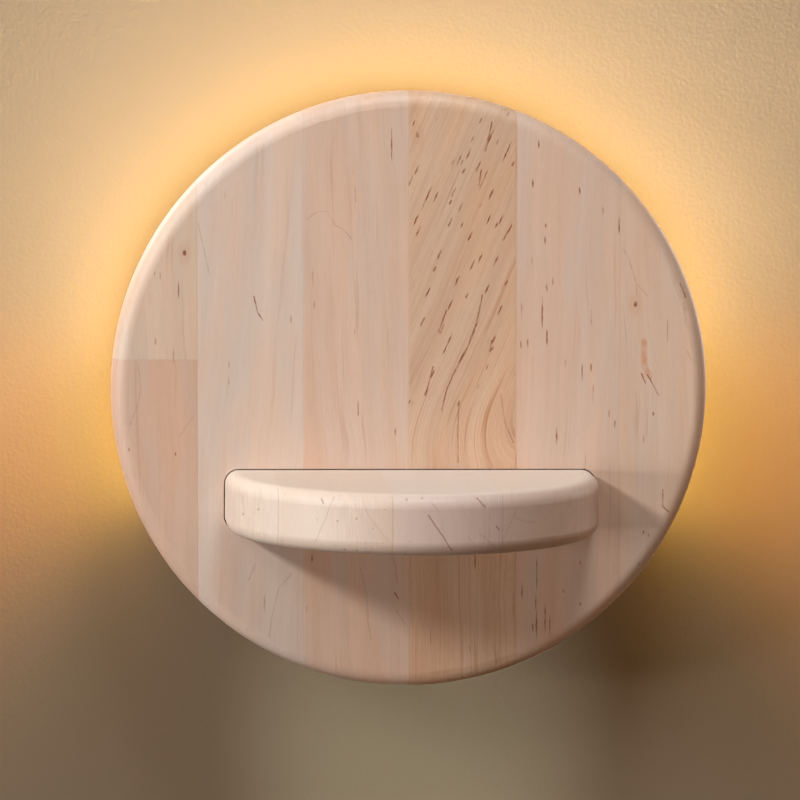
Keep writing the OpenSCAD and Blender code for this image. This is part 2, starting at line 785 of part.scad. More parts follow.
// Ring tongue and crimped barrel on the end of the earth lead
module earth_terminal() {
    color("gold") on_wall() difference() {
        union() {
            translate([earth_x, earth_y, rail_back - tag_t]) cylinder(r = tag_r, h = tag_t);
            translate([earth_x - barrel_r, barrel_low + barrel_l - 1, rail_back - tag_t])
                cube([2 * barrel_r, tag_r + 2, tag_t]);
            translate([earth_x, barrel_low, rail_back - barrel_r]) rotate([-90, 0, 0])
                cylinder(r = barrel_r, h = barrel_l);
        }
        translate([earth_x, earth_y, rail_back - tag_t - past])
            cylinder(d = earth_screw_size[0] + 2 * screw_fit, h = tag_t + 2 * past);
        translate([earth_x, barrel_low - past, rail_back - barrel_r]) rotate([-90, 0, 0])
            cylinder(d = lead_d + 2 * screw_fit, h = barrel_l + past - 1.5);
    }
}

module earth_screw() {
    color("goldenrod") on_wall() translate([earth_x, earth_y, rail_back - tag_t]) difference() {
        union() {
            translate([0, 0, -earth_screw_size[2]])
                cylinder(d = earth_screw_size[1], h = earth_screw_size[2]);
            cylinder(d = earth_screw_size[0], h = tag_t + rail_t + 1.5);
        }
        translate([0, 0, -earth_screw_size[2]])
            cross_recess(earth_screw_size[1] * 0.6, earth_screw_size[2] * 0.5);
    }
}

// Keyhole: a wide entry below a narrow slot that closes over the stud's neck
module keyhole() {
    translate([0, -lift]) circle(keyhole_r);
    circle(neck_r + slip);
    translate([-neck_r - slip, -lift]) square([2 * (neck_r + slip), lift]);
}

module hanger_rail() {
    color("silver") on_wall() difference() {
        translate([0, 0, rail_back]) linear_extrude(rail_t) difference() {
            rail_outline(0);
            both_sides() translate([stud_x, hanger_y]) keyhole();
        }
        at_rail_screws() translate([0, 0, -past]) screw_hole(rail_screw, rail_t + 2 * past);
        translate([earth_x, earth_y, rail_back - past])
            cylinder(d = earth_screw_size[0] + 2 * screw_fit, h = rail_t + 2 * past);
    }
}

module rail_screws() {
    color("lightgray") on_wall() at_rail_screws() pan_screw(rail_screw);
}

// Plate on the wall: a bar with two screw slots, and a tab with the cable hole
module wall_bracket() {
    tab_top = hanger_y - bracket_half_h + 6;
    color("silver") on_wall() difference() {
        linear_extrude(bracket_t) {
            translate([0, hanger_y]) rounded_rect(bracket_w, 2 * bracket_half_h, 4);
            translate([0, (tab_top + cable_tab_low) / 2])
                rounded_rect(cable_tab_w, tab_top - cable_tab_low, 5);
        }
        both_sides() {
            translate([wall_screw_spacing / 2, hanger_y, -past])
                linear_extrude(bracket_t + 2 * past) long_hole(wall_slot_l, wall_slot_w);
            translate([stud_x, hanger_y, -past])
                cylinder(r = neck_r + press_gap, h = bracket_t + 2 * past);
        }
        translate([0, cable_y, -past])
            cylinder(r = grommet_body_r + glue_gap, h = bracket_t + 2 * past);
        translate([0, cable_y, -past])
            cylinder(r = grommet_rear_r + glue_gap, h = grommet_rear_t + past);
    }
}

// Stud riveted into the bracket: shank, collar, neck and head
module hanger_studs() {
    collar_t = 1;
    collar_w = 1.4;
    bevel = 0.6;
    color("lightgray") on_wall() both_sides() translate([stud_x, hanger_y, 0]) {
        cylinder(r = neck_r, h = stud_top);
        translate([0, 0, bracket_t]) cylinder(r = neck_r + collar_w, h = collar_t);
        translate([0, 0, stud_top]) cylinder(d = stud_head_d, h = stud_head_t - bevel);
        translate([0, 0, stud_top + stud_head_t - bevel])
            cylinder(d1 = stud_head_d, d2 = stud_head_d - 2 * bevel, h = bevel);
    }
}

module cable_grommet() {
    color("dimgray") on_wall() translate([0, cable_y, 0]) difference() {
        union() {
            cylinder(r = grommet_rear_r, h = grommet_rear_t - press_gap);
            cylinder(r = grommet_body_r, h = bracket_t + grommet_front_t);
            translate([0, 0, bracket_t]) cylinder(r = grommet_flange_r, h = grommet_front_t);
        }
        translate([0, 0, -past]) cylinder(d = cable_bore, h = bracket_t + grommet_front_t + 2 * past);
    }
}

front_disc();
shelf();
shelf_brackets();
shelf_screws();
spacer_ring();
ring_screws();
wall_pads();
led_channel();
channel_screws();
channel_end_caps();
led_strip();
led_chips();
light_diffuser();
driver_case();
driver_lid();
driver_lid_screws();
driver_board();
driver_parts();
driver_screws();
terminal_block();
terminal_contacts();
terminal_screws();
lever_live();
lever_neutral();
lever_earth();
live_lead();
neutral_lead();
earth_lead();
positive_lead();
negative_lead();
earth_terminal();
earth_screw();
hanger_rail();
rail_screws();
wall_bracket();
hanger_studs();
cable_grommet();
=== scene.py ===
import json
import math

import bpy
from mathutils import Matrix, Quaternion, Vector

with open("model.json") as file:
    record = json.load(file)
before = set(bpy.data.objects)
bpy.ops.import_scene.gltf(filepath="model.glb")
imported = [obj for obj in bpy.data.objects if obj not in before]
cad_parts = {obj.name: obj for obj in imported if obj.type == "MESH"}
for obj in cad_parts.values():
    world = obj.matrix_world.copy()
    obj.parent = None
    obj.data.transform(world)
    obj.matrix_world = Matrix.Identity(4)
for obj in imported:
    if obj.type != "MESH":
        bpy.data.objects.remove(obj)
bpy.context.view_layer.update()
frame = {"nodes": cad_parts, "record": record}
nodes = frame["nodes"]

MM = 0.001


# ---------------------------------------------------------------- camera

# Fitted to the outline of the disc and the shelf in the photo: metres, degrees, and mm for the lens.
EYE = Vector((-0.201, -2.347, 0.2365))
YAW, PITCH, ROLL = math.radians(4.88), math.radians(5.97), math.radians(0.54)
LENS, SENSOR = 222.5, 36.0
look = Vector((math.sin(YAW) * math.cos(PITCH), math.cos(YAW) * math.cos(PITCH), -math.sin(PITCH)))
camera_data = bpy.data.cameras.new("camera")
camera_data.lens = LENS
camera_data.sensor_width = SENSOR
camera = bpy.data.objects.new("camera", camera_data)
camera.location = EYE
camera.rotation_mode = "QUATERNION"
camera.rotation_quaternion = look.to_track_quat("-Z", "Y") @ Quaternion((0, 0, 1), ROLL)
bpy.context.scene.collection.objects.link(camera)
bpy.context.scene.camera = camera


# ---------------------------------------------------------------- node graphs

RAMP_REACH = 160  # mm on either side of the middle that a row of colour steps covers


def linear(red, green, blue):
    """A colour given as 0 to 255 on the screen, as the renderer's linear values."""
    out = []
    for level in (red, green, blue):
        c = level / 255
        out.append(c / 12.92 if c <= 0.04045 else ((c + 0.055) / 1.055) ** 2.4)
    return (*out, 1.0)


class Value:
    """A socket that can be added, multiplied and compared like a number."""

    def __init__(self, graph, socket):
        self.graph, self.socket = graph, socket

    def __add__(self, other):
        return self.graph.math("ADD", self, other)

    __radd__ = __add__

    def __sub__(self, other):
        return self.graph.math("SUBTRACT", self, other)

    def __rsub__(self, other):
        return self.graph.math("SUBTRACT", other, self)

    def __mul__(self, other):
        return self.graph.math("MULTIPLY", self, other)

    __rmul__ = __mul__

    def __truediv__(self, other):
        return self.graph.math("DIVIDE", self, other)

    def __pow__(self, other):
        return self.graph.math("POWER", self, other)

    def __gt__(self, other):
        return self.graph.math("GREATER_THAN", self, other)

    def __lt__(self, other):
        return self.graph.math("LESS_THAN", self, other)


class Graph:
    """One material, built from its nodes. Its place is the object's own, in mm."""

    def __init__(self, name, roughness=0.5, metallic=0.0):
        self.material = bpy.data.materials.new(name)
        self.material.use_nodes = True
        self.tree = self.material.node_tree
        self.shader = self.tree.nodes["Principled BSDF"]
        self.shader.inputs["Metallic"].default_value = metallic
        self.shader.inputs["Roughness"].default_value = roughness
        where = self.tree.nodes.new("ShaderNodeTexCoord").outputs["Object"]
        self.place = self.vector("MULTIPLY", where, (1 / MM, 1 / MM, 1 / MM))
        self.x, self.y, self.z = self.split(self.place)

    def feed(self, socket, value):
        if isinstance(value, Value):
            value = value.socket
        if isinstance(value, bpy.types.NodeSocket):
            self.tree.links.new(value, socket)
        else:
            socket.default_value = value

    def math(self, operation, a, b=0.0):
        node = self.tree.nodes.new("ShaderNodeMath")
        node.operation = operation
        self.feed(node.inputs[0], a)
        self.feed(node.inputs[1], b)
        return Value(self, node.outputs[0])

    def vector(self, operation, a, b=(0, 0, 0), output=0):
        node = self.tree.nodes.new("ShaderNodeVectorMath")
        node.operation = operation
        self.feed(node.inputs[0], a)
        self.feed(node.inputs[1], b)
        return Value(self, node.outputs[output])

    def split(self, vector):
        node = self.tree.nodes.new("ShaderNodeSeparateXYZ")
        self.feed(node.inputs[0], vector)
        return [Value(self, out) for out in node.outputs]

    def join(self, x, y, z=0.0):
        node = self.tree.nodes.new("ShaderNodeCombineXYZ")
        for socket, value in zip(node.inputs, (x, y, z)):
            self.feed(socket, value)
        return Value(self, node.outputs[0])

    def noise(self, vector, scale=1.0, detail=2.0, roughness=0.5):
        node = self.tree.nodes.new("ShaderNodeTexNoise")
        self.feed(node.inputs["Vector"], vector)
        for name, value in (("Scale", scale), ("Detail", detail), ("Roughness", roughness)):
            node.inputs[name].default_value = value
        return Value(self, node.outputs["Fac"])

    def cells(self, vector, scale=1.0):
        """How far the nearest cell's middle is, and a random number from 0 to 1 for that cell."""
        node = self.tree.nodes.new("ShaderNodeTexVoronoi")
        self.feed(node.inputs["Vector"], vector)
        node.inputs["Scale"].default_value = scale
        return Value(self, node.outputs["Distance"]), self.split(node.outputs["Color"])[0]

    def ease(self, value, low, high, out_low=0.0, out_high=1.0):
        """A soft step from one level to another while the value goes from low to high."""
        node = self.tree.nodes.new("ShaderNodeMapRange")
        node.interpolation_type = "SMOOTHSTEP"
        for name, number in (("From Min", low), ("From Max", high), ("To Min", out_low), ("To Max", out_high)):
            node.inputs[name].default_value = number
        self.feed(node.inputs["Value"], value)
        return Value(self, node.outputs["Result"])

    def smaller(self, a, b):
        return self.math("MINIMUM", a, b)

    def larger(self, a, b):
        return self.math("MAXIMUM", a, b)

    def steps(self, value, stops):
        """A colour for each stretch of a value: (start, colour) rows, the start in mm."""
        node = self.tree.nodes.new("ShaderNodeValToRGB")
        node.color_ramp.interpolation = "CONSTANT"
        self.feed(node.inputs[0], (value + RAMP_REACH) / (2 * RAMP_REACH))
        ramp = node.color_ramp.elements
        while len(ramp) < len(stops):
            ramp.new(1.0)
        for element, (start, colour) in zip(ramp, stops):
            element.position = (start + RAMP_REACH) / (2 * RAMP_REACH)
            element.color = colour
        return Value(self, node.outputs["Color"])

    def mix(self, share, a, b, blend="MIX"):
        node = self.tree.nodes.new("ShaderNodeMix")
        node.data_type, node.blend_type = "RGBA", blend
        self.feed(node.inputs[0], share)
        self.feed(node.inputs[6], a)
        self.feed(node.inputs[7], b)
        return Value(self, node.outputs[2])

    def shade(self, colour, amount):
        """The colour made lighter or darker by a factor."""
        node = self.tree.nodes.new("ShaderNodeVectorMath")
        node.operation = "SCALE"
        self.feed(node.inputs[0], colour[:3] if isinstance(colour, tuple) else colour)
        self.feed(node.inputs["Scale"], amount)
        return Value(self, node.outputs[0])

    def finish(self, colour, height, roughness=None, strength=0.3, depth=0.1, **sockets):
        """Feeds the shader, with a bump of the given depth in mm, and gives the material."""
        self.feed(self.shader.inputs["Base Color"], colour)
        if roughness is not None:
            self.feed(self.shader.inputs["Roughness"], roughness)
        for socket, value in sockets.items():
            self.feed(self.shader.inputs[socket.replace("_", " ")], value)
        bump = self.tree.nodes.new("ShaderNodeBump")
        bump.inputs["Strength"].default_value = strength
        bump.inputs["Distance"].default_value = depth * MM
        self.feed(bump.inputs["Height"], height)
        self.tree.links.new(bump.outputs["Normal"], self.shader.inputs["Normal"])
        return self.material


# ---------------------------------------------------------------- wood


FACE_BACK = -54.4  # y just behind the disc's front face, in mm
SLOT_HALF_WIDTH, SLOT_FOOT, SLOT_HEAD = 88.5, -66.2, -36.0
# Painted shade for the slot's walls and for the shelf's tail in the slot.
SLOT_SHADE_COLOUR, SLOT_SHADE_SHARE = linear(150, 80, 48), 0.8

# Colours of the wood's details.
WARM_GRAIN, RING_BROWN, FINE_LINE = linear(196, 148, 116), linear(156, 98, 64), linear(172, 116, 78)
KNOT_HALO, RESIN, PORE_BROWN = linear(186, 132, 96), linear(190, 116, 66), linear(150, 92, 58)
FLECK_BROWN, GLUE_BROWN = linear(126, 62, 26), linear(150, 104, 78)
SHELF_RING, SHELF_FLECK, SHELF_GLUE = linear(160, 116, 92), linear(124, 78, 52), linear(150, 112, 90)
# The last is partly the end grain's pinker tone and partly painted shade for the shelf front's shaded side.
WARMER, COOLER, PINK_TONE_AND_SHADE = (1.03, 0.975, 0.94, 1.0), (0.98, 1.005, 1.04, 1.0), (0.90, 0.81, 0.79, 1.0)
GLUE_CORE, GLUE_EDGE = 0.08, 0.4  # mm from a glue line's middle: where it starts to fade and where it ends

# The fourth stave's grain leans to the right by a slope, and below a height it turns upright.
LEAN_DROP, LEAN_DEPTH, LEAN_SLOPE, LEAN_BEND = 4, -42.0, 0.44, 0.00524


def lean_of(z, smaller=min, larger=max):
    """How far the grain of the fourth stave has moved to the right at a height, in mm."""
    low = larger(smaller(z + LEAN_DROP, 0.0), LEAN_DEPTH)
    return low * LEAN_SLOPE + low * low * LEAN_BEND + larger(z + LEAN_DROP, 0.0) * LEAN_SLOPE


def marks(g, across, along, half_width, half_length, places):
    """1 inside short marks of one size that lie along the grain, 0 outside."""
    here = g.join(across / half_width, along / half_length)
    near = None
    for px, pz in places:
        gap = g.vector("DISTANCE", here, (px / half_width, pz / half_length, 0), output=1)
        near = gap if near is None else g.smaller(near, gap)
    return g.ease(near, 0.45, 1.05, 1.0, 0.0)


def classed_marks(g, across, along, half_width, classes):
    """1 inside the marks of a table by half length, 0 outside."""
    found = None
    for half_length, places in classes.items():
        some = marks(g, across, along, half_width, half_length, places)
        found = some if found is None else g.larger(found, some)
    return found


def strokes(g, across, along, width, lines):
    """1 along thin broken lines, each a row of points, 0 elsewhere."""
    here = g.join(across, along)
    near = None
    for line in lines:
        for (ax, az), (bx, bz) in zip(line, line[1:]):
            run = Vector((bx - ax, bz - az, 0))
            past = g.vector("SUBTRACT", here, (ax, az, 0))
            share = g.vector("DOT_PRODUCT", past, tuple(run / run.length_squared), output=1)
            share = g.smaller(g.larger(share, 0.0), 1.0)
            gap = g.vector("DISTANCE", past, g.shade(tuple(run), share), output=1)
            near = gap if near is None else g.smaller(near, gap)
    return g.ease(near, width * 0.4, width, 1.0, 0.0)


def chance_marks(g, across, along, through, cell, slim, share, size):
    """1 inside random short marks along the grain, one in a share of the cells, 0 outside."""
    gap, tint = g.cells(g.join(across / cell, through / cell, along / (cell * slim)))
    return g.ease(gap, size * 0.4, size, 1.0, 0.0) * (tint < share)


def staves(g, x, joints, grain, tones):
    """The numbers of the stave at a place, and its colour."""
    starts = (-RAMP_REACH, *joints)
    numbers = g.split(g.steps(x, [(start, (*row, 1)) for start, row in zip(starts, grain)]))
    return numbers, g.steps(x, [(start, linear(*tone)) for start, tone in zip(starts, tones)])


def nearest(g, value, edges):
    """The distance from a value to the nearest of some edges."""
    near = None
    for edge in edges:
        gap = g.math("ABSOLUTE", value - edge)
        near = gap if near is None else g.smaller(near, gap)
    return near


# Pith flecks and small knots of the disc, by stave, in mm from its centre: (across, up).
LONG_FLECKS = [(37.8, 115.2), (46.5, 110.4), (35.4, 97.2), (8.4, 88.5), (30.8, 27.1), (24.0, 12.4), (18.1, 20.4)]
MID_FLECKS = [
    (28.1, 108.9), (32.7, 102.9), (11.1, 6.6), (3.6, 101.4), (21.0, 91.0), (12.5, 88.6), (24.2, 83.8), (19.4, 77.2),
    (3.1, 78.1), (43.6, 78.6), (37.8, 78.6), (15.7, 27.6), (40.0, 22.3), (47.8, 74.3), (45.8, 71.0), (28.8, 70.5),
    (8.2, -1.4), (38.8, 90.1), (0.7, 96.2), (23.5, 105.8), (4.3, 72.9), (14.2, 62.0), (30.0, 57.5), (22.6, 49.8),
    (37.0, 46.2), (8.8, 44.5), (43.1, 36.4), (19.5, 38.7), (33.7, 60.4), (41.2, 59.3), (6.3, 30.8),
]
SHORT_FLECKS = [
    (33.7, 124.1), (41.7, 114.3), (30.0, 115.7), (20.8, 105.0), (24.9, 104.8), (25.7, 100.8), (49.2, 104.3),
    (2.1, 122.8), (19.4, 86.3), (24.9, 75.8), (41.4, 75.8), (39.5, 18.5), (23.5, -7.2), (37.1, 9.9), (46.9, 127.2),
    (-0.1, -6.7), (12.0, 55.4), (46.1, 49.0), (27.3, 43.1),
]
# Outside the fourth stave, by half length: dark marks and faint ones.
DARK_MARKS = {
    9.0: [(63.3, 35.0), (61.0, -87.2), (60.9, -110.9), (65.1, -108.4), (-8.4, 113.0)],
    5.0: [
        (-109.1, 45.4), (-24.3, -9.7), (65.5, 23.6), (82.4, 7.1), (70.3, -22.8), (99.8, 76.1), (31.4, -81.1),
        (53.9, -95.0), (60.6, -100.4), (67.3, -111.8),
    ],
    2.4: [
        (-56.1, 31.7), (-6.6, -20.6), (64.5, 69.1), (68.3, 49.8), (65.4, 46.8), (56.4, 20.9), (53.1, 20.2), (86.7, 9.7),
        (-46.4, -79.4), (59.2, -112.5), (61.4, 113.4), (58.6, 95.2), (80.9, 91.9), (98.2, -17.0),
    ],
    1.2: [
        (-120.3, 53.1), (-132.8, -28.8), (-110.9, -30.6), (64.8, 75.7), (83.7, -38.1), (116.6, -12.0), (81.8, -82.2),
        (82.0, -101.6), (73.7, -95.3), (112.2, -67.8), (110.0, -82.9), (114.7, -69.1), (-106.0, 62.6),
    ],
}
FAINT_MARKS = {
    9.0: [(123.2, 27.2), (49.9, -101.9)],
    5.0: [
        (-111.7, 15.7), (-45.7, 50.8), (53.5, 36.4), (86.7, 32.8), (87.7, -2.3), (84.1, -34.7), (-69.1, -100.9),
        (10.2, -116.6), (-25.5, 89.7),
    ],
    2.4: [
        (-120.1, 21.6), (-85.5, 3.2), (-26.0, 25.9), (58.3, 58.9), (74.3, 11.7), (92.1, 82.6), (-48.9, -103.4),
        (29.0, -122.5), (-117.7, 51.9), (-85.5, 11.1), (-44.9, 38.9), (-87.0, 89.6), (95.4, -12.0), (112.0, -24.0),
    ],
}
KNOTS = [(3.8, 117.5), (-106.2, 62.6), (107.8, 39.2)]
# Bent lines, each a row of points: dark ones, those of the fourth stave, and fine ones.
DARK_STROKES = [
    [(-73.6, 42.5), (-71.7, 34.8), (-69.4, 31.6)],
    [(110.9, 6.7), (112.8, 2.3)],
    [(113.8, 6.3), (119.1, -3.4)],
    [(121.4, -47.8), (121.4, -55.7), (124.0, -58.0)],
    [(129.3, 48.8), (131.8, 42.4)],
    [(-7.0, -96.0), (-5.1, -98.8)],
]
FOURTH_STROKES = [
    [(34.7, 43.4), (33.1, 35.3), (30.5, 25.1), (26.8, 17.0), (21.6, 7.9), (17.6, -1.3), (15.5, -10.4)],
    [(17.6, 36.2), (14.0, 26.1)],
    [(19.6, 23.1), (16.5, 17.0)],
    [(11.3, 9.9), (7.8, -3.3)],
    [(39.2, 22.1), (38.4, 17.0)],
    [(39.2, 123.5), (36.2, 110.3)],
    [(34.1, 101.2), (33.1, 94.1)],
]
FOURTH_FINE = [[(23.7, -6.3), (23.1, -19.5), (23.3, -34.7)], [(43.8, -3.3), (45.4, -15.4), (49.6, -25.6)]]
FINE_STROKES = [
    [(-128.2, 11.1), (-127.2, 0.2), (-128.2, -7.0), (-130.7, -12.9), (-132.3, -17.0)],
    [(-102.8, -13.4), (-106.5, -18.8), (-108.5, -22.0)],
    [(-99.9, 76.5), (-97.2, 64.7), (-94.4, 52.4)],
    [(101.9, 64.9), (104.4, 60.9), (108.1, 48.8), (108.5, 44.0)],
    [(108.9, 48.0), (113.8, 42.8)],
    [(131.4, 37.6), (131.8, 29.6)],
    [(132.6, 17.5), (134.7, 13.5)],
    [(-73.3, -82.2), (-76.4, -89.7)],
    [(-56.0, -86.6), (-62.4, -94.1), (-65.6, -107.8), (-66.9, -116.5)],
    [(-22.6, -87.2), (-20.0, -99.0), (-19.7, -109.0), (-18.2, -117.8)],
    [(-7.6, -79.1), (-5.5, -91.6)],
    [(-6.3, -103.9), (-1.9, -111.4)],
    [(-48.6, 78.3), (-43.5, 81.9), (-38.9, 81.9), (-35.2, 75.6), (-31.5, 73.8), (-27.3, 69.2)],
]
RESIN_STREAK = [[(112.0, 21.6), (112.2, 10.3), (114.6, 5.5)]]

# The glue lines between the disc's six staves, and the end joint in the left one, in mm.
DISC_JOINTS = (-100.5, -50.3, -0.3, 50.4, 100.3)
END_JOINT = 13.0
# For each stave: a seed, how much its grain shows, and how far it leans. Then its colour.
DISC_GRAIN = [
    (0.17, 0.30, 0.5), (0.41, 0.25, 0.55), (0.77, 0.45, 0.45),
    (0.05, 1.0, 0.5), (0.58, 0.35, 0.52), (0.91, 0.4, 0.46),
]
DISC_TONES = [
    (202, 174, 152), (205, 179, 161), (202, 170, 149), (199, 163, 135), (203, 171, 150), (204, 173, 151),
]
LOWER_LEFT_COLOUR, LOWER_LEFT_SEED = linear(197, 161, 138), 0.33


def disc_place(g):
    """The place on the disc, turned and stretched very slightly to the face that the marks were placed on."""
    return g.x * 1.0132 + g.z * 0.0097 + 0.98, g.y, g.z * 0.9922 - g.x * 0.0007 - 1.58


def disc_wood():
    g = Graph("disc_birch")
    x, y, z = disc_place(g)
    lower_left = (x < DISC_JOINTS[0]) * (z < END_JOINT)
    (seed, figure, slant), base = staves(g, x, DISC_JOINTS, DISC_GRAIN, DISC_TONES)
    seed = seed + lower_left * LOWER_LEFT_SEED
    base = g.mix(lower_left, base, LOWER_LEFT_COLOUR)

    # In the fourth stave the grain leans to the right, turns upright near the shelf and curls round its right edge.
    in_fourth = (x > DISC_JOINTS[2]) * (x < DISC_JOINTS[3])
    leaned = x - lean_of(z, g.smaller, g.larger)
    curl_middle = 62.0
    curl = g.larger(g.smaller(z + 6, 0.0), -30.0) * 0.55
    fourth = curl_middle - ((leaned - curl_middle) ** 2 + curl * curl) ** 0.5
    plain = x - (slant - 0.5) * z
    wander = (g.noise(g.join(x * 0.011, seed * 40, z * 0.011), detail=2.0) - 0.5) * 12
    across = plain + (fourth - plain) * in_fourth + wander * (1.0 - in_fourth * 0.55)
    deep = y * 0.45
    broad = g.noise(g.join(across * 0.085 + seed * 90, deep * 0.1, z * 0.0045), detail=2.0) - 0.5
    bands = g.noise(g.join(across * 0.22 + seed * 70, deep * 0.3, z * 0.012), detail=2.0, roughness=0.5) - 0.5
    fibres = g.noise(g.join(across * 1.1, y * 1.1, z * 0.05 + seed * 50), detail=3.0, roughness=0.6) - 0.5
    rays = g.noise(g.join(across * 1.6 + 9, y * 1.6, z * 0.22), detail=2.0, roughness=0.6) - 0.5
    pores = g.noise(g.join(across * 4.0, y * 4.0, z * 0.14), detail=2.0) - 0.5
    ring = g.math("ABSOLUTE", g.noise(g.join(across * 0.23 + seed * 55, deep * 0.2, z * 0.0025), detail=1.0) - 0.5)
    fade = g.ease(g.noise(g.join(across * 0.2, seed * 9, z * 0.03), detail=1.0), 0.42, 0.62)
    ring_line = g.ease(ring, 0.0, 0.014, 1.0, 0.0) * fade
    tone = 1.0 + broad * (figure * 0.14 + 0.08) + bands * (figure * 0.18 + 0.05) + fibres * 0.12
    tone = tone + rays * (figure * 0.16 + 0.06) + pores * 0.05
    colour = g.shade(base, tone)
    hue = g.ease(g.noise(g.join(across * 0.06 + seed * 31, deep * 0.1, z * 0.014), detail=2.0), 0.36, 0.64)
    colour = g.mix(1.0, colour, g.mix(hue, WARMER, COOLER), "MULTIPLY")
    warm = g.ease(bands + broad * 0.5, -0.25, 0.2, 1.0, 0.0) * figure
    colour = g.mix(warm * 0.30, colour, WARM_GRAIN)
    colour = g.mix(ring_line * (figure * 0.46 + 0.04), colour, RING_BROWN)

    lines = g.math("ABSOLUTE", g.noise(g.join(across * 0.62 + 3, deep * 0.2, z * 0.004), detail=0.0) - 0.5)
    lines = g.ease(lines, 0.0, 0.035, 1.0, 0.0) * in_fourth * g.ease(z, 45.0, -15.0, 0.22, 0.50)
    colour = g.mix(lines, colour, FINE_LINE)

    # Pith flecks, dark and short, and a few small knots.
    ragged = (g.noise(g.place, scale=0.6, detail=2.0) - 0.5) * 1.1
    depth = g.ease(g.noise(g.place, scale=0.22, detail=1.0), 0.34, 0.6, 0.45, 0.95)
    here = leaned + ragged
    flecks = marks(g, here, z, 0.46, 6.4, [(a - lean_of(b), b) for a, b in LONG_FLECKS])
    flecks = g.larger(flecks, marks(g, here, z, 0.56, 3.0, [(a - lean_of(b), b) for a, b in MID_FLECKS]) * 0.95)
    flecks = g.larger(flecks, marks(g, here, z, 0.54, 1.6, [(a - lean_of(b), b) for a, b in SHORT_FLECKS]) * 0.9)
    flecks = flecks * in_fourth
    there = x + ragged * 0.8
    outside = g.larger(classed_marks(g, there, z, 0.48, DARK_MARKS), strokes(g, there, z, 0.46, DARK_STROKES)) * 0.85
    outside = g.larger(outside, strokes(g, x + ragged * 0.5, z, 0.48, FOURTH_STROKES) * 0.8)
    outside = g.larger(outside, strokes(g, x, z, 0.5, FOURTH_FINE) * 0.5)
    faint = classed_marks(g, there, z, 0.44, FAINT_MARKS) * 0.42
    faint = g.larger(faint, strokes(g, there, z, 0.40, FINE_STROKES) * 0.26)
    dark = g.larger(flecks, g.larger(outside, faint))
    dark = g.larger(dark, marks(g, there, z, 1.1, 1.7, KNOTS) * 0.95)
    halo = marks(g, x + ragged * 2, z, 4.0, 7.0, KNOTS)
    chance = chance_marks(g, across, z, y, 7.0, 4.0, 0.16, 0.06) * 0.4
    chance = chance + chance_marks(g, across + 31, z, y, 4.0, 6.0, 0.2, 0.1) * 0.3
    chance = chance + chance_marks(g, across + 7, z, y, 4.6, 3.0, 0.34, 0.11) * 0.6 * in_fourth
    colour = g.mix(halo * 0.22, colour, KNOT_HALO)
    colour = g.mix(strokes(g, there, z, 2.0, RESIN_STREAK) * depth * 0.55, colour, RESIN)
    colour = g.mix(g.smaller(chance, 1.0) * 0.6, colour, PORE_BROWN)
    colour = g.mix(dark * depth, colour, FLECK_BROWN)

    # The end joint counts only in the left stave.
    seam = nearest(g, x, DISC_JOINTS)
    end = g.math("ABSOLUTE", z - END_JOINT) + (x > DISC_JOINTS[0]) * 10
    seam_line = g.ease(g.smaller(seam, end), GLUE_CORE, GLUE_EDGE, 1.0, 0.0)
    colour = g.mix(seam_line * 0.12, colour, GLUE_BROWN)
    # The slot's walls, which light hardly reaches, get painted shade.
    slot = (g.math("ABSOLUTE", g.x) < SLOT_HALF_WIDTH) * (g.z > SLOT_FOOT) * (g.z < SLOT_HEAD) * (g.y > FACE_BACK)
    colour = g.mix(slot * SLOT_SHADE_SHARE, colour, SLOT_SHADE_COLOUR)
    height = fibres * 0.5 + pores * 0.4 - dark * 0.6 - seam_line * 0.5
    rough = 0.52 + bands * 0.10 + fibres * 0.12
    return g.finish(colour, roughness=rough, height=height, strength=0.3, depth=0.12, Specular_IOR_Level=0.4)


# On the shelf's front, in mm: (across, up).
FRONT_CRACKS = [
    [(-0.3, -46.0), (2.7, -50.4), (6.3, -55.4), (10.6, -62.2)],
    [(22.1, -38.8), (25.7, -42.9)],
    [(31.1, -51.7), (32.4, -53.5)],
    [(-47.6, -40.4), (-46.6, -42.3)],
]
FRONT_HAIRLINES = [
    [(40.9, -44.1), (33.6, -59.8)],
    [(23.3, -54.7), (31.1, -61.7)],
    [(17.9, -56.1), (20.2, -58.5)],
    [(-42.1, -39.1), (-49.9, -59.8)],
    [(1.5, -41.0), (3.9, -43.5)],
]
FRONT_DOTS = [
    (-40.5, -49.8), (-32.3, -48.3), (-37.2, -62.9), (-31.8, -62.9), (-26.7, -63.5), (-10.3, -64.3), (-2.8, -64.3),
    (10.4, -61.7), (-74.4, -48.5), (-80.8, -52.3), (-10.0, -39.1), (-3.0, -38.5),
]

# The glue lines between the shelf's four staves, in mm.
SHELF_JOINTS = (-66.0, -16.2, 34.0)
# For each stave: a seed, how far off the tree's core lies, and a third number that isn't used. Then its colour.
SHELF_GRAIN = [(0.23, 0.40, 0), (0.61, 0.15, 0), (0.37, 0.75, 0), (0.83, 0.50, 0)]
SHELF_TONES = [(210, 188, 171), (207, 183, 165), (206, 185, 171), (207, 185, 169)]


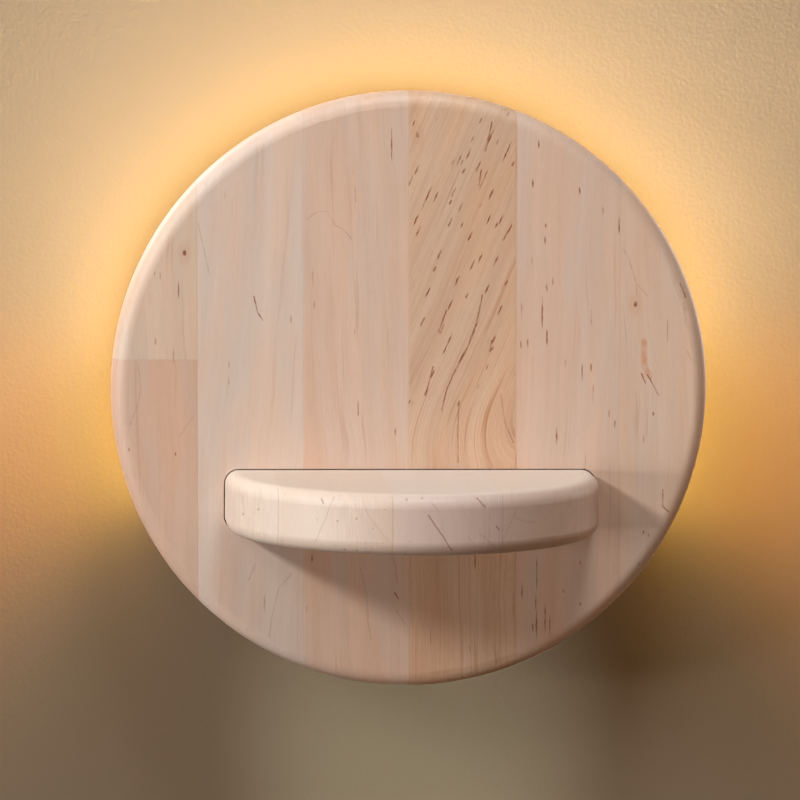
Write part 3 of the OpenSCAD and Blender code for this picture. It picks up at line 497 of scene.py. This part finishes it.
def shelf_wood():
    g = Graph("shelf_birch")
    x, y, z = g.x, g.y, g.z
    (seed, core, _), base = staves(g, x, SHELF_JOINTS, SHELF_GRAIN, SHELF_TONES)
    wander = (g.noise(g.join(x * 0.02, y * 0.012, z * 0.02 + seed * 40), detail=3.0) - 0.5) * 16
    off_x = x - (seed - 0.5) * 150 + wander
    off_z = z + core * 60 + 10 + wander * 0.5
    radius = (off_x * off_x + off_z * off_z) ** 0.5
    ring = g.math("ABSOLUTE", g.noise(g.join(radius * 0.30 + seed * 55, y * 0.003, 0.0), detail=1.0) - 0.5)
    ring_line = g.ease(ring, 0.0, 0.012, 1.0, 0.0) * g.ease(g.noise(g.place, scale=0.06, detail=1.0), 0.4, 0.6)
    bands = g.noise(g.join(radius * 0.25, y * 0.006 + seed * 70, 0.0), detail=3.0, roughness=0.6) - 0.5
    fibres = g.noise(g.join(x * 1.6, y * 0.04 + seed * 50, z * 1.6), detail=3.0, roughness=0.65) - 0.5
    rays = g.noise(g.join(x * 1.9, y * 0.05, z * 0.10), detail=2.0) - 0.5
    pores = g.noise(g.place, scale=2.4, detail=3.0, roughness=0.7) - 0.5
    # The rounded front is end grain: finely speckled, with faint arcs, small pores and fine upright lines.
    facing = g.tree.nodes.new("ShaderNodeNewGeometry").outputs["Normal"]
    nx, ny, _ = g.split(g.vector("ABSOLUTE", facing))
    end_grain = g.ease(ny + nx * 0.5, 0.25, 0.75)
    streaky = g.ease(g.noise(g.join(x * 0.05, 3.3, 0.0), detail=1.0), 0.45, 0.62)
    tone = 1.0 + bands * 0.12 + fibres * 0.10 + end_grain * (pores * 0.22 + rays * (streaky * 0.30 + 0.06) - 0.02)
    colour = g.shade(base, tone)
    colour = g.mix(ring_line * (end_grain * 0.14 + 0.03), colour, SHELF_RING)
    dots = chance_marks(g, x + 13, y, z, 4.0, 1.4, 0.30, 0.10) * end_grain
    dashes = chance_marks(g, x + wander * 2, z, y, 7.0, 1.5, 0.35, 0.07) * end_grain
    few = chance_marks(g, x, y, z, 9.0, 2.4, 0.22, 0.07)
    dark = g.smaller(few * 0.6 + dots * 0.8 + dashes * 0.6, 1.0)
    # Cracks and short flecks on the front, as birch end grain has.
    there = x + (g.noise(g.place, scale=0.5, detail=2.0) - 0.5) * 0.9
    cut = g.larger(strokes(g, there, z, 0.44, FRONT_CRACKS), strokes(g, there, z, 0.40, FRONT_HAIRLINES) * 0.35)
    cut = g.larger(cut, marks(g, there, z, 0.70, 0.8, FRONT_DOTS) * 0.7)
    dark = g.larger(dark, cut * g.ease(end_grain, 0.0, 0.4))
    # The end grain is pinker and darker over the middle and right of the front: partly its own tone, partly painted
    # shade where the front turns from the light.
    pink_and_shade = end_grain * g.ease(x, -55.0, 5.0)
    colour = g.mix(pink_and_shade, colour, g.mix(1.0, colour, PINK_TONE_AND_SHADE, "MULTIPLY"))
    colour = g.mix(dark * 0.60, colour, SHELF_FLECK)
    # Painted shade on the tail in the slot, which light hardly reaches.
    colour = g.mix((y > FACE_BACK) * SLOT_SHADE_SHARE, colour, SLOT_SHADE_COLOUR)
    seam_line = g.ease(nearest(g, x, SHELF_JOINTS), GLUE_CORE, GLUE_EDGE, 1.0, 0.0)
    colour = g.mix(seam_line * (end_grain * 0.26 + 0.06), colour, SHELF_GLUE)
    height = fibres * 0.5 + pores * 0.5 - dark * 0.8 - seam_line * 0.5
    rough = 0.5 + bands * 0.10 + fibres * 0.12
    return g.finish(colour, roughness=rough, height=height, strength=0.3, depth=0.12, Specular_IOR_Level=0.4)


TWO_PLIES = 2.9  # mm, a light ply and a dark one


def ring_plywood():
    g = Graph("ring_plies")
    ply = g.math("FRACT", g.y / TWO_PLIES)
    layer = g.ease(ply, 0.44, 0.5) * g.ease(ply, 0.94, 1.0, 1.0, 0.0)
    glue = g.smaller(g.math("ABSOLUTE", ply - 0.47), g.math("ABSOLUTE", ply - 0.97))
    grain = g.noise(g.join(g.x * 0.5, g.y * 3.0, g.z * 0.5), detail=4.0, roughness=0.6) - 0.5
    pores = g.noise(g.place, scale=2.2, detail=3.0) - 0.5
    colour = g.mix(layer, linear(214, 184, 142), linear(190, 150, 106))
    colour = g.mix(g.ease(glue, 0.0, 0.05, 0.55, 0.0), colour, linear(120, 82, 52))
    colour = g.shade(colour, 1.0 + grain * 0.22 + pores * 0.18)
    return g.finish(colour, roughness=0.6 + grain * 0.1, height=pores + layer * 0.6, strength=0.4, depth=0.15)


# ---------------------------------------------------------------- metal, plastic and the rest


def metal(name, colour, roughness, along="x", grain=0.25, spangle=0.0):
    g = Graph(name, metallic=1.0)
    stretch = {"x": (0.05, 2.5, 2.5), "y": (2.5, 0.05, 2.5), "z": (2.5, 2.5, 0.05)}[along]
    brushed = g.noise(g.vector("MULTIPLY", g.place, stretch), detail=3.0, roughness=0.7) - 0.5
    smudge = g.noise(g.place, scale=0.06, detail=3.0) - 0.5
    tint = 1.0 + brushed * grain + smudge * 0.12
    if spangle:
        tint = tint + (g.cells(g.place, scale=0.22)[1] - 0.5) * spangle
    rough = roughness + brushed * 0.2 + smudge * 0.2
    return g.finish(g.shade(colour, tint), roughness=rough, height=brushed, strength=0.15, depth=0.05)


def moulded(name, colour, roughness=0.45, texture=6.0, strength=0.2):
    g = Graph(name)
    fine = g.noise(g.place, scale=texture, detail=2.0) - 0.5
    broad = g.noise(g.place, scale=0.08, detail=2.0) - 0.5
    tint = 1.0 + fine * 0.05 + broad * 0.08
    rough = roughness + broad * 0.12 + fine * 0.1
    return g.finish(g.shade(colour, tint), roughness=rough, height=fine, strength=strength, depth=0.05)


COVER_GLOW, CHIP_GLOW = 3.0, 4.0
COVER_RADIUS, CHIP_PITCH = 122, 8.0  # mm: one bright spot of the cover for each chip behind it


def opal_cover():
    g = Graph("opal_cover", roughness=0.4)
    around = g.math("ARCTAN2", g.z, g.x) * (COVER_RADIUS / CHIP_PITCH * 2 * math.pi)
    bright = g.math("SINE", around) * 0.08 + 1.0
    fine = g.noise(g.place, scale=1.5, detail=2.0) - 0.5
    glow = g.shade((1.0, 0.58, 0.19), bright + fine * 0.04)
    g.shader.inputs["Emission Strength"].default_value = COVER_GLOW
    return g.finish(
        g.shade(linear(246, 236, 214), 1.0 + fine * 0.04), height=fine, strength=0.1, depth=0.03, Emission_Color=glow
    )


def light_chips():
    g = Graph("light_chips", roughness=0.3)
    fine = g.noise(g.place, scale=3.0, detail=2.0) - 0.5
    g.shader.inputs["Emission Strength"].default_value = CHIP_GLOW
    glow = g.shade(linear(255, 200, 110), 1.0 + fine * 0.1)
    return g.finish(g.shade(linear(240, 200, 90), 1.0 + fine * 0.1), height=fine, Emission_Color=glow)


def board_green():
    g = Graph("circuit_board", roughness=0.35)
    tracks = g.math("PINGPONG", g.x + g.noise(g.place, scale=0.12, detail=0.0) * 9, 1.3)
    copper = g.ease(tracks, 0.55, 0.75) * 0.5
    fine = g.noise(g.place, scale=4.0, detail=2.0) - 0.5
    colour = g.mix(copper, linear(22, 92, 50), linear(60, 134, 74))
    return g.finish(g.shade(colour, 1.0 + fine * 0.1), height=copper, strength=0.2, depth=0.05)


def earth_lead():
    g = Graph("lead_green", roughness=0.4)
    turn = g.math("FRACT", (g.x + g.y * 1.7 + g.z) / 4.2)
    stripe = g.ease(turn, 0.5, 0.56) * g.ease(turn, 0.92, 0.98, 1.0, 0.0)
    fine = g.noise(g.place, scale=5.0, detail=2.0) - 0.5
    colour = g.mix(stripe, linear(60, 142, 50), linear(226, 202, 40))
    return g.finish(g.shade(colour, 1.0 + fine * 0.08), height=fine, strength=0.15, depth=0.03)


MATERIALS = {
    "disc_wood": disc_wood,
    "shelf_wood": shelf_wood,
    "ring_plywood": ring_plywood,
    "zinc_steel": lambda: metal("zinc_sheet", linear(190, 193, 196), 0.38, "x", 0.15, 0.10),
    "screw_steel": lambda: metal("screw_steel", linear(186, 186, 182), 0.32, "y", 0.12),
    "channel_aluminium": lambda: metal("satin_aluminium", linear(205, 206, 208), 0.4, "y", 0.10),
    "contact_brass": lambda: metal("brass", linear(206, 166, 92), 0.3, "z", 0.15),
    "dark_rubber": lambda: moulded("rubber", linear(44, 43, 42), 0.75, 3.0, 0.35),
    "grey_plastic": lambda: moulded("grey_plastic", linear(164, 163, 160), 0.45, 6.0, 0.25),
    "strip_white": lambda: moulded("light_strip", linear(228, 226, 220), 0.5, 2.0, 0.15),
    "chip_yellow": light_chips,
    "opal_cover": opal_cover,
    "white_plastic": lambda: moulded("white_plastic", linear(226, 225, 220), 0.45, 5.0, 0.3),
    "board_green": board_green,
    "parts_dark": lambda: moulded("driver_parts", linear(52, 48, 42), 0.4, 2.5, 0.2),
    "lever_orange": lambda: moulded("lever", linear(236, 112, 24), 0.3, 6.0, 0.15),
    "lead_brown": lambda: moulded("lead_brown", linear(96, 56, 30), 0.4, 5.0, 0.15),
    "lead_blue": lambda: moulded("lead_blue", linear(40, 92, 176), 0.4, 5.0, 0.15),
    "lead_green": earth_lead,
    "lead_red": lambda: moulded("lead_red", linear(176, 30, 26), 0.4, 5.0, 0.15),
    "lead_black": lambda: moulded("lead_black", linear(34, 34, 35), 0.4, 5.0, 0.15),
}

made = {}
slot_of = {row["node"]: row["material_slot"] for row in frame["record"]["subparts"]}
for name, thing in nodes.items():
    slot_name = slot_of[name]
    if slot_name not in made:
        made[slot_name] = MATERIALS[slot_name]()
    for index in range(len(thing.material_slots)):
        thing.material_slots[index].material = made[slot_name]


# ---------------------------------------------------------------- stage and light


def sheet(name, corners, material):
    mesh = bpy.data.meshes.new(name)
    mesh.from_pydata(corners, [], [(0, 1, 2, 3)])
    mesh.materials.append(material)
    thing = bpy.data.objects.new(name, mesh)
    bpy.context.scene.collection.objects.link(thing)
    return thing


def plaster(name, colour, one_way):
    """Fine plaster. A one-way sheet is clear from behind, so the lamp's back can be looked at."""
    g = Graph(name, roughness=0.9)
    fine = g.noise(g.place, scale=0.55, detail=4.0) - 0.5
    broad = g.noise(g.place, scale=0.012, detail=3.0) - 0.5
    material = g.finish(
        g.shade(colour, 1.0 + broad * 0.05 + fine * 0.02), height=fine, strength=0.25, depth=0.6, Specular_IOR_Level=0.1
    )
    if one_way:
        clear = g.tree.nodes.new("ShaderNodeBsdfTransparent")
        back = g.tree.nodes.new("ShaderNodeNewGeometry").outputs["Backfacing"]
        either = g.tree.nodes.new("ShaderNodeMixShader")
        g.feed(either.inputs[0], back)
        g.tree.links.new(g.shader.outputs[0], either.inputs[1])
        g.tree.links.new(clear.outputs[0], either.inputs[2])
        g.tree.links.new(either.outputs[0], g.tree.nodes["Material Output"].inputs["Surface"])
    return material


WALL_SPAN, FLOOR_DROP, FLOOR_REACH = 3.0, 1.3, 4.0
WALL_Y = 0.0004  # a hair behind the pads, so no two faces share a plane
wall = sheet(
    "wall",
    [
        (-WALL_SPAN, WALL_Y, -FLOOR_DROP),
        (WALL_SPAN, WALL_Y, -FLOOR_DROP),
        (WALL_SPAN, WALL_Y, WALL_SPAN),
        (-WALL_SPAN, WALL_Y, WALL_SPAN),
    ],
    plaster("wall_plaster", linear(103, 88, 72), True),
)
wall.visible_shadow = False
floor = sheet(
    "floor",
    [
        (-WALL_SPAN, WALL_Y, -FLOOR_DROP),
        (-WALL_SPAN, -FLOOR_REACH, -FLOOR_DROP),
        (WALL_SPAN, -FLOOR_REACH, -FLOOR_DROP),
        (WALL_SPAN, WALL_Y, -FLOOR_DROP),
    ],
    plaster("floor_pale", linear(226, 222, 216), False),
)
floor.visible_diffuse = False


TARGET = (0.0, -0.06, 0.0)  # the middle of the disc, which the lamps face


def lamp(name, place, size, power, colour=(1.0, 1.0, 1.0), length=None, along=(0, 0, 1)):
    """A soft lamp that faces the disc: a round one, or a strip of the given length along a direction."""
    data = bpy.data.lights.new(name, "AREA")
    data.shape = "RECTANGLE" if length else "DISK"
    data.size = length or size
    if length:
        data.size_y = size
    data.energy = power
    data.color = colour
    away = (Vector(place) - Vector(TARGET)).normalized()
    across = Vector(along)
    across = (across - away * across.dot(away)).normalized()
    thing = bpy.data.objects.new(name, data)
    thing.matrix_world = Matrix((across, away.cross(across), away)).transposed().to_4x4()
    thing.location = place
    bpy.context.scene.collection.objects.link(thing)
    return thing


# A long key lamp in the upper left that grazes the disc, a soft lamp nearer the camera, one level with the shelf,
# a cool one overhead, weak warm fills from the right and from below, and two for the back.
DAY, SKY = (0.93, 0.98, 1.0), (0.80, 0.93, 1.0)
WARM, WARM_LOW, WARM_WALL = (1.0, 0.72, 0.50), (1.0, 0.70, 0.46), (1.0, 0.72, 0.48)
lamp("key", (-2.2, -1.5, 1.3), 0.26, 62, DAY, length=1.6, along=(-0.46, 0.85, 0.27))
lamp("key_soft", (-1.35, -2.22, 1.5), 0.7, 8, DAY, along=(1, 0, 0))
lamp("side", (-2.75, -1.28, 0.0), 0.36, 44, DAY)
lamp("top", (0.25, -1.2, 2.75), 1.0, 64, SKY, along=(1, 0, 0))
lamp("fill", (2.7, -1.1, 0.6), 1.6, 7, WARM)
lamp("low_fill", (1.0, -1.6, -1.4), 1.4, 5, WARM_LOW)
lamp("back_left", (-1.0, 1.3, 0.7), 0.8, 14)
lamp("back_right", (1.2, 1.2, 0.2), 0.8, 10)

# The light strip's wash on the wall: rows of small lamps in the gap behind the disc that face outwards along the
# strip's arc, for the wall alone. The warm row fades with distance, and the pale one doesn't. Two short orange rows
# light the wall at the sides.
ROW_RADIUS, ROW_OFF_WALL, ROW_LAMP_SIZE = 0.134, 0.018, 0.012
END_REACH, START_STRETCH = 0.22, 0.85  # the share of a row that brightens at its end, and a little more at its start
wall_only = bpy.data.collections.new("wall_only")
wall_only.objects.link(wall)


def strip_row(name, start, sweep, count, power, colour, fading, tilt=0.0, ends=0.0, spread=180):
    """Lamps on an arc, tilted towards the wall by a share and brighter at the arc's ends by another."""
    for index in range(count):
        step = (index + 0.5) / count
        angle = math.radians(start + sweep * step)
        light = bpy.data.lights.new(f"{name}_{index}", "AREA")
        light.size = ROW_LAMP_SIZE
        light.spread = math.radians(spread)
        near_end = max(0.0, 1 - min(step * START_STRETCH, 1 - step) / END_REACH)
        light.energy = power * (1 + ends * near_end)
        light.color = colour
        light.use_nodes = True
        falloff = light.node_tree.nodes.new("ShaderNodeLightFalloff")
        falloff.inputs["Strength"].default_value = 1.0
        light.node_tree.links.new(falloff.outputs[fading], light.node_tree.nodes["Emission"].inputs["Strength"])
        holder = bpy.data.objects.new(light.name, light)
        outwards = Vector((math.cos(angle), 0, math.sin(angle)))
        holder.location = outwards * ROW_RADIUS - Vector((0, ROW_OFF_WALL, 0))
        holder.rotation_mode = "QUATERNION"
        holder.rotation_quaternion = (outwards + Vector((0, tilt, 0))).to_track_quat("-Z", "Y")
        holder.visible_camera = False
        holder.visible_glossy = False
        holder.light_linking.receiver_collection = wall_only
        bpy.context.scene.collection.objects.link(holder)


AMBER, PALE, ORANGE = (1.0, 0.68, 0.15), (0.92, 0.92, 0.84), (1.0, 0.40, 0.05)
strip_row("warm_wash", -28, 234, 28, 0.65, AMBER, "Linear", tilt=0.6, ends=0.3)
strip_row("pale_wash", 6, 170, 20, 23.5, PALE, "Constant")
strip_row("left_wash", 173, 33, 5, 8, ORANGE, "Constant", spread=90)
strip_row("right_wash", -26, 33, 5, 8, ORANGE, "Constant", spread=90)
wall_fill = lamp("wall_fill", (0.6, -1.6, -1.6), 1.2, 18, WARM_WALL)
wall_fill.light_linking.receiver_collection = wall_only

# A soft patch of light on the wall just below the disc.
patch = bpy.data.lights.new("wall_patch", "SPOT")
patch.energy = 22
patch.color = (0.80, 1.0, 0.98)
patch.spot_size = math.radians(18)
patch.spot_blend = 1.0
patch_middle = Vector((0.01, 0.0, -0.185))
patch_holder = bpy.data.objects.new("wall_patch", patch)
patch_holder.location = (0.0, -0.55, -0.55)
patch_holder.rotation_mode = "QUATERNION"
patch_holder.rotation_quaternion = (patch_middle - patch_holder.location).to_track_quat("-Z", "Y")
patch_holder.light_linking.receiver_collection = wall_only
bpy.context.scene.collection.objects.link(patch_holder)

AMBIENT, AMBIENT_STRENGTH = (1.0, 0.60, 0.36, 1), 0.093
world = bpy.data.worlds.new("studio")
bpy.context.scene.world = world
world.use_nodes = True
world.node_tree.nodes["Background"].inputs["Color"].default_value = AMBIENT
world.node_tree.nodes["Background"].inputs["Strength"].default_value = AMBIENT_STRENGTH

bpy.context.scene.view_settings.view_transform = "Standard"
